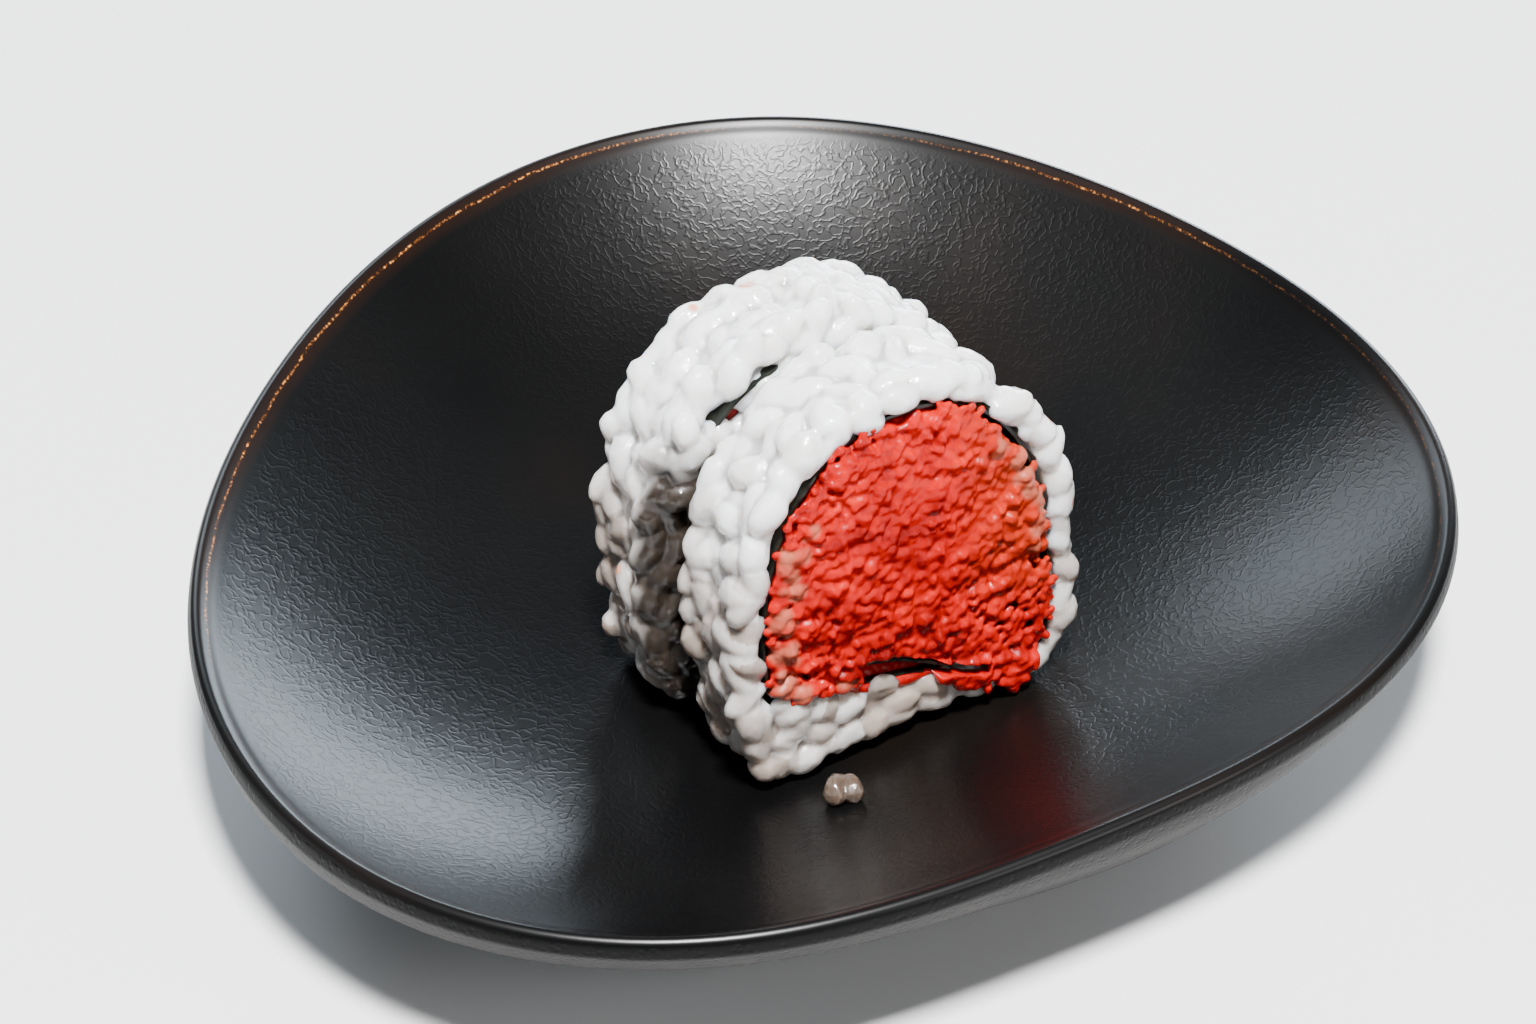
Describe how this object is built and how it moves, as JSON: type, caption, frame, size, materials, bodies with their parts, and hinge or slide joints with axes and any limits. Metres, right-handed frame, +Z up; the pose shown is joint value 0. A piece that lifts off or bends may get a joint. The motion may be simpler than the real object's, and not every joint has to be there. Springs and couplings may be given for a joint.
{
  "type": "sushi slices on a dish",
  "caption": "Thick rice-coated sushi roll slices with a red filling, standing on edge in an egg-shaped black stoneware dish.",
  "frame": {"origin": "middle of the dish's outline, on the surface that it stands on", "axes": "+Z up, -Y towards the side that the cut face with the red filling looks to"},
  "size_m": [0.1402, 0.1386, 0.0521],
  "materials": {
    "dish": "satin black glaze, bronze at the rim",
    "rice": "moist, a little translucent",
    "nori": "dry, nearly black",
    "filling": "moist and finely lumpy"
  },
  "bodies": {
    "root": {"dish": "dish", "front_rice": "rice", "front_nori": "nori", "front_filling": "filling", "rear_rice": "rice", "rear_nori": "nori", "rear_filling": "filling", "loose_grain": "rice"}
  },
  "joints": []
}
